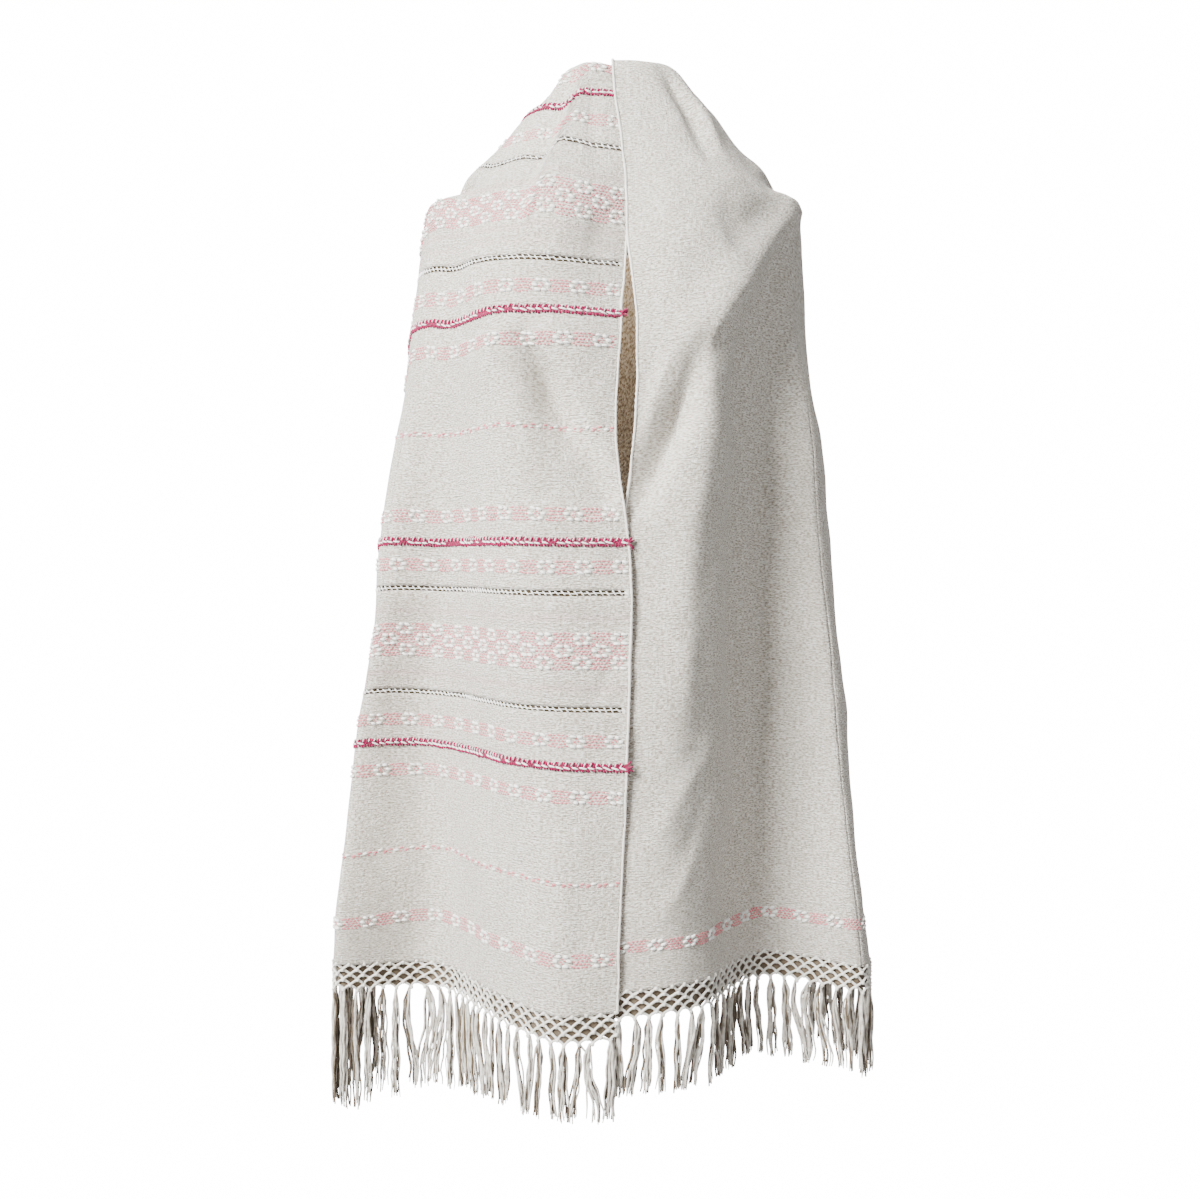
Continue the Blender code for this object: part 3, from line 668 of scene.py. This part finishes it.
def chart(half, t, start):
    """A row of white flowers and pink blocks by turns."""
    count = int(CLOTH_WIDTH / REPEAT) + 2
    for n in range(-1, count):
        for places, motif, shift, lift, thick in ((white_places, FLOWER, 0.0, 0.0006, 0.0030),
                                                  (pink_places, FILL, 0.0, 0.0, 0.0009),
                                                  (pink_places, BLOCK, REPEAT / 2, 0.0001, 0.0010)):
            middle = (n + start) * REPEAT + shift
            for a, b, length, height, tilt in motif:
                jig = RNG.normal(0, 1, 5)
                v = middle + (a + jig[0] * 0.25) / 1000
                if not 0.005 < v < CLOTH_WIDTH - 0.004:
                    continue
                places.append(lie(half, t + (b + jig[1] * 0.2) / 1000, v,
                                  length * (1 + 0.10 * jig[2]) / 1000, height * (1 + 0.08 * jig[3]) / 1000,
                                  thick, math.radians(tilt + 5 * jig[4]), lift))


def dashes(half, t):
    """A thin row of pink and white dashes."""
    for n in range(int(CLOTH_WIDTH / DASH)):
        jig = RNG.normal(0, 1, 4)
        v = 0.004 + n * DASH + jig[0] * 0.0004
        if v > CLOTH_WIDTH - 0.004:
            break
        white = n % 3 == 1
        places = white_places if white else pink_places
        places.append(lie(half, t + jig[1] * 0.0003 + (0.0008 if n % 2 else -0.0008), v,
                          DASH if white else 0.0052, 0.0027, 0.0026 if white else 0.0012,
                          math.radians(6 * jig[2]), 0.0003 if white else 0.0001))
        if not white:
            places.append(lie(half, t + (0.0024 if n % 2 else 0.0022), v + 0.001,
                              0.0036, 0.0016, 0.0010, 0.0, 0.0001))


def twine(half, t):
    """The crimson band: two rows of slanted crimson ticks with white strokes worked between."""
    for n in range(int(CLOTH_WIDTH / TICK)):
        v = TICK / 2 + n * TICK
        if v > CLOTH_WIDTH - 0.001:
            break
        for row, high, tilt in ((-0.0023, 0.0054, 22), (0.0027, 0.0048, -20)):
            jig = RNG.normal(0, 1, 5)
            crimson_places.append(lie(half, t + row + jig[0] * 0.0003, v + jig[1] * 0.0003, 0.0024,
                                      high * (1 + 0.12 * jig[2]), 0.0030 + 0.0003 * jig[4],
                                      math.radians(tilt + 7 * jig[3]), 0.0006))
        jig = RNG.normal(0, 1, 2)
        crimson_places.append(lie(half, t + 0.0002, v + TICK / 2, 0.0046, 0.0030, 0.0024, 0.0, 0.0003))
        if n % 2:
            white_places.append(lie(half, t - 0.0026, v + TICK / 2, 0.0012, 0.0046, 0.0030,
                                    math.radians(22 + 5 * jig[0]), 0.0008))
    for n in range(int(CLOTH_WIDTH / STROKE)):
        jig = RNG.normal(0, 1, 4)
        v = 0.004 + n * STROKE
        if v > CLOTH_WIDTH - 0.003 or RNG.random() < 0.14:
            continue
        white_places.append(lie(half, t + 0.0008 + jig[0] * 0.0003, v,
                                0.0080 * (1 + 0.12 * jig[1]), 0.0020, 0.0030,
                                math.radians(14 + 5 * jig[2]), 0.0013))


def openwork(half, t):
    """Drawn-thread work: twisted warps cross an opening that one thread runs along."""
    for n in range(int(CLOTH_WIDTH / TWIST)):
        v = 0.005 + n * TWIST
        if v > CLOTH_WIDTH - 0.005:
            break
        jig = RNG.normal(0, 1, 4)
        open_places.append(lie(half, t + 0.0002 * jig[0], v, 0.0066, 0.0016, 0.0018,
                               math.radians(50 + 6 * jig[1]), 0.0))
        open_places.append(lie(half, t + 0.0003 * jig[2], v + TWIST / 2, TWIST * 0.95, 0.0010, 0.0012,
                               math.radians(4 * jig[3]), -0.0001))


for half, bands in ((LEFT, BANDS), (RIGHT, RIGHT_BANDS)):
    for number, (kind, middle) in enumerate(bands):
        if kind == "P":
            chart(half, middle, 0.25 + 0.13 * (number % 3))
        elif kind == "W":
            for shift, start in ((-0.0117, 0.3), (0.0, 0.8), (0.0117, 0.3)):
                chart(half, middle + shift, start)
        elif kind == "T":
            dashes(half, middle)
        elif kind == "M":
            twine(half, middle)
        elif kind == "O":
            openwork(half, middle)

FLOAT, THIN_FLOAT = base_pad(7, 4), base_pad(6, 3)
white_brocade = scatter("white_brocade", FLOAT, white_places, WHITE_FLOAT)
pink_brocade = scatter("pink_brocade", THIN_FLOAT, pink_places, PINK_FLOAT)
crimson_twining = scatter("crimson_twining", FLOAT, crimson_places, CRIMSON)
drawn_work = scatter("drawn_work", FLOAT, open_places, WHITE_FLOAT)


# ---- painted shade: a dark strip set back behind each openwork band, seen through its openings
def openwork_shade_strip(half, t):
    """A narrow strip of painted shade following an openwork band, a little behind the cloth."""
    v = np.linspace(0.004, CLOTH_WIDTH - 0.004, 124)
    rows = [half.at(t + d, v, -0.0022)[0] for d in (-0.0042, 0.0, 0.0042)]
    bm, cells = grid(len(rows) - 1, len(v) - 1)
    for vert, (i, j) in cells.items():
        vert.co = rows[i][j]
    bmesh.ops.recalc_face_normals(bm, faces=bm.faces[:])
    return bm


for number, (kind, middle) in enumerate(BANDS):
    if kind == "O":
        keep(f"openwork_painted_shade_{number}", openwork_shade_strip(LEFT, middle), OPENWORK_SHADE_YARN)


# ---- cords
def cords(name, lines, radius, mat, nodes=(), sides=1):
    """Yarns along lines of points, each with its own thickness, as one mesh."""
    curve = bpy.data.curves.new(name, "CURVE")
    curve.dimensions = "3D"
    curve.bevel_depth = radius
    curve.bevel_resolution = sides
    curve.use_fill_caps = True
    for points, sizes in lines:
        spline = curve.splines.new("POLY")
        spline.points.add(len(points) - 1)
        flat = np.concatenate((np.asarray(points), np.ones((len(points), 1))), axis=1)
        spline.points.foreach_set("co", flat.ravel())
        spline.points.foreach_set("radius", np.broadcast_to(sizes, len(points)).astype(float))
    holder = bpy.data.objects.new(name + "_line", curve)
    bpy.context.scene.collection.objects.link(holder)
    bpy.context.view_layer.update()
    mesh = bpy.data.meshes.new_from_object(holder.evaluated_get(bpy.context.evaluated_depsgraph_get()))
    bpy.data.objects.remove(holder)
    return dress(name, mesh, mat, nodes)


def selvage(half, v):
    """The thick cord of a selvage, wavering a little, with its twist as a wave of its radius."""
    t = np.linspace(CENTRE_T + 0.002, HEM_T, 330)
    wobble = np.interp(t, t[::6], RNG.normal(0, 1, len(t[::6])))
    points = half.at(t, np.full_like(t, v) + wobble * 0.0003, 0.0001)[0]
    return points, 1 + 0.32 * np.sin(t * 2 * math.pi / 0.0060) + 0.10 * wobble


selvages = [selvage(half, v) for half in HALVES for v in (0.0006, CLOTH_WIDTH - 0.0006)]
selvage_cords = cords("selvage_cords", selvages, SELVAGE_CORD, CREAM_CORD, (), 2)


def below(half, v, drop, lift=0.0):
    """A point hanging under the hem."""
    here = half.at(HEM_T, v, lift)[0]
    here = np.array(here, float)
    here[..., 2] -= drop
    return here


def net(half, name, node):
    """Warp ends knotted into rows of diamonds, with a dark sheet of painted shade behind them."""
    count = int(CLOTH_WIDTH / STEP)
    gap = (CLOTH_WIDTH - 0.004) / count
    depth = (NET_HEIGHT + 0.001) / NET_ROWS
    knots = []
    for row in range(NET_ROWS + 1):
        shift = 0.5 if row % 2 else 0.0
        for n in range(count + 1 if row % 2 == 0 else count):
            jig = RNG.normal(0, 1, 3)
            v = 0.002 + (n + shift) * gap
            drop = max(row * depth - 0.001 + jig[1] * 0.0006, -0.001)
            knots.append((row, n, v + jig[0] * 0.0006, drop))
    spot = {(row, n): (v, drop) for row, n, v, drop in knots}
    lines = []
    for (row, n), (v, drop) in spot.items():
        first = n - 1 if row % 2 == 0 else n
        for other in ((row + 1, first), (row + 1, first + 1)):
            if other not in spot:
                continue
            v2, drop2 = spot[other]
            f = np.linspace(0, 1, 7)
            bow = np.sin(f * math.pi) * 0.0012 * (1 if v2 > v else -1)
            vv = np.clip(v + (v2 - v) * f + bow, 0.0, CLOTH_WIDTH)
            dd = drop + (drop2 - drop) * f
            lift = 0.0006 * np.sin(f * math.pi) * (1 if (n + row) % 2 else -1)
            lines.append((np.array([below(half, a, b, c - 0.001) for a, b, c in zip(vv, dd, lift)]),
                          1 + 0.10 * np.sin(f * 3 * math.pi)))
    for n in range(count):
        v = 0.002 + (n + 0.5) * gap
        f = np.linspace(0, 1, 7)
        lines.append((np.array([below(half, v + (a - 0.5) * gap * 0.62,
                                      0.0006 + 0.0026 * math.sin(a * math.pi), 0.0002) for a in f]), 0.6))
    for (row, n), (v, drop) in spot.items():
        f = np.linspace(-1, 1, 5)
        lines.append((np.array([below(half, np.clip(v + a * 0.0013, 0, CLOTH_WIDTH), drop + 0.0002,
                                      -0.0008 + 0.0004 * (1 - a * a)) for a in f]),
                      1.25 + 0.5 * (1 - f * f)))
    made = cords(name, lines, NET_CORD, CREAM_CORD, (node,))
    # a dark sheet behind the net's upper rows: painted shade seen through its holes
    lowest = [spot[key] for key in sorted(spot) if key[0] == NET_ROWS]
    above = (NET_ROWS - 1) * depth
    edge = [(0.003, above)]
    for v, drop in lowest:
        edge += [(v, drop - 0.0005), (v + gap / 2, above - 0.001)]
    v, drop = np.array(edge[:-1]).T
    bm, cells = grid(3, len(v) - 1)
    for vert, (i, j) in cells.items():
        vert.co = below(half, v[j], -0.0005 + (drop[j] + 0.0005) * i / 3, -0.0032)
    bmesh.ops.recalc_face_normals(bm, faces=bm.faces[:])
    return made, lowest, keep(name + "_painted_shade_sheet", bm, PAINTED_SHADE_YARN)


def tassels(half, name, node, starts, reach):
    """Loose warp ends under each lowest knot, a few wavy strands to a tassel, every third one set back in a
    dark yarn as painted shade.
    """
    lines, inner = [], []
    share, sizes = [r[0] for r in reach], [r[1] for r in reach]
    for v, drop in starts:
        size = np.interp(v / CLOTH_WIDTH, share, sizes) + 0.005
        lean = RNG.normal(0, 0.0042)
        sway = RNG.normal(0, 0.0028)
        clump = RNG.uniform(0.75, 1.35)
        full = size * RNG.uniform(0.90, 1.0)
        for k in range(RNG.integers(9, 13)):
            own = full * (1 - abs(RNG.normal(0, 0.06)))
            f = np.linspace(0, 1, 15)
            wave = RNG.uniform(0.022, 0.05)
            phase = RNG.uniform(0, 6.28)
            place = RNG.normal(0, 1)
            side = (lean * f ** 1.4 + sway * np.sin(f * math.pi * 1.5 + 0.4)
                    + place * 0.0021 * clump * np.clip(f * 7, 0, 1) * (0.75 + 0.6 * f)
                    + 0.0008 * np.sin(f * own * 2 * math.pi / wave + phase) * np.clip(f * 5, 0, 1))
            out = (RNG.normal(0, 0.0012) * np.clip(f * 6, 0, 1)
                   + 0.0008 * np.sin(f * own * 2 * math.pi / (wave * 1.2) + phase * 2))
            vv = v + side
            spare = np.minimum(vv, 0) + np.maximum(vv - CLOTH_WIDTH, 0)
            points = np.array([below(half, np.clip(a, 0, CLOTH_WIDTH), drop + own * g, o - 0.001)
                               for a, g, o in zip(vv, f, out)])
            points[:, 0] += spare * half.mirror
            # every third strand is set back in a dark yarn: painted shade between the strands
            if k % 3 == 2:
                points[:, 1] += 0.0003
                inner.append((points, 0.95 * (1 - 0.3 * f ** 6)))
            else:
                lines.append((points, RNG.uniform(0.7, 1.3) * (1 - 0.5 * f ** 6)))
    return [cords(name, lines, TASSEL_CORD, FRINGE_CORD, (node,)),
            cords(name + "_painted_shade_strands", inner, TASSEL_CORD, PAINTED_SHADE_YARN)]


# reach of the tassels: share of the width from the inner selvage, metres
FRINGE_LEFT = ((0.00, 0.074), (0.20, 0.078), (0.45, 0.094), (0.62, 0.114), (0.80, 0.132), (1.00, 0.124))
FRINGE_RIGHT = ((0.00, 0.074), (0.20, 0.078), (0.45, 0.080), (0.62, 0.084), (0.80, 0.086), (1.00, 0.080))
net_left, starts_left, shade_left = net(LEFT, "net_left_cords", "net_left")
net_right, starts_right, shade_right = net(RIGHT, "net_right_cords", "net_right")
tassels_left = tassels(LEFT, "tassels_left", "fringe_left", starts_left, FRINGE_LEFT)
tassels_right = tassels(RIGHT, "tassels_right", "fringe_right", starts_right, FRINGE_RIGHT)

# ---- crimson tufts where the twined bands start at the inner selvage
tuft_lines = []
for kind, middle in BANDS:
    if kind == "M" and middle > 0.1:
        for k in range(9):
            f = np.linspace(0, 1, 6)
            turn = RNG.uniform(-1.1, 1.1)
            long = RNG.uniform(0.004, 0.0075)
            here, normal = LEFT.at(middle + RNG.normal(0, 0.0008), 0.001, 0.001)
            step = np.array([math.cos(turn), 0.0, math.sin(turn)]) * long
            rise = np.sin(f * 3.0) * RNG.uniform(0.0005, 0.0022)
            tuft_lines.append((here + np.outer(f, step) + np.outer(rise, normal), 1.0))
crimson_tufts = cords("crimson_tufts", tuft_lines, TUFT_CORD, CRIMSON)


def mean_side(half):
    return float(np.mean([half.side_at(t) for t in np.linspace(CENTRE_T, HEM_T, 60)]))


wide_left, wide_right = mean_side(LEFT), mean_side(RIGHT)

# ---- floor, light, camera
bm = bmesh.new()
bmesh.ops.create_grid(bm, x_segments=1, y_segments=1, size=12.0)
floor_mesh = bpy.data.meshes.new("floor")
bm.to_mesh(floor_mesh)
bm.free()
floor = bpy.data.objects.new("floor", floor_mesh)
bpy.context.scene.collection.objects.link(floor)
for corner in floor_mesh.vertices:
    corner.co.z = FLOOR_Z
pale, pale_tree = fresh("pale_studio_floor")
plain = add(pale_tree, "BsdfPrincipled", {"Base Color": (0.20, 0.20, 0.20, 1), "Roughness": 0.9})
glow = add(pale_tree, "Emission", {"Strength": BURNT_OUT})
seen = add(pale_tree, "LightPath").outputs["Is Camera Ray"]
floor_look = add(pale_tree, "MixShader", {0: seen, 1: plain.outputs[0], 2: glow.outputs[0]})
add(pale_tree, "OutputMaterial", {0: floor_look.outputs[0]})
floor_mesh.materials.append(pale)

world = bpy.data.worlds.new("studio")
bpy.context.scene.world = world
world.use_nodes = True
world.node_tree.nodes.clear()
# the sheet of paper behind is burnt out to white; the light it gives the cloth is soft
direct = add(world.node_tree, "LightPath").outputs["Is Camera Ray"]
level = maths(world.node_tree, "MULTIPLY_ADD", direct, BURNT_OUT - AMBIENT, AMBIENT)
shade = add(world.node_tree, "Background", {"Color": (1.0, 1.0, 1.0, 1.0), "Strength": level})
add(world.node_tree, "OutputWorld", {0: shade.outputs[0]})


def lamp(name, place, aim, size, power, colour):
    """A soft lamp turned to its aim, not seen itself."""
    data = bpy.data.lights.new(name, "AREA")
    data.shape = "RECTANGLE"
    data.size, data.size_y = size
    data.energy = power
    data.color = colour
    made = bpy.data.objects.new(name, data)
    made.location = place
    made.visible_camera = False
    made.rotation_euler = (Vector(aim) - Vector(place)).to_track_quat("-Z", "Y").to_euler()
    bpy.context.scene.collection.objects.link(made)


lamp("key", (-2.10, -2.20, 1.20), (0, 0, -0.5), (1.5, 1.5), 700, (1.0, 0.999, 0.995))
lamp("fill", (2.6, -1.6, 0.2), (0, 0, -0.5), (1.2, 1.2), 32, (0.93, 0.96, 1.0))
lamp("back", (0.9, 3.0, 1.1), (0, 0, -0.5), (1.2, 1.2), 150, (1.0, 0.99, 0.97))
lamp("inside", (0.0, -0.03, -0.13), (0.0, 0.10, -0.26), (0.06, 0.06), 0.35, (1.0, 0.80, 0.58))

eye = bpy.data.cameras.new("eye")
eye.lens = 41.67
eye.sensor_width = 36
eye.shift_x = -0.010
eye.shift_y = -0.0454
camera = bpy.data.objects.new("eye", eye)
camera.location = (0.0, -1.5, -0.5)
camera.rotation_euler = (math.radians(90), 0, 0)
bpy.context.scene.collection.objects.link(camera)
bpy.context.scene.camera = camera
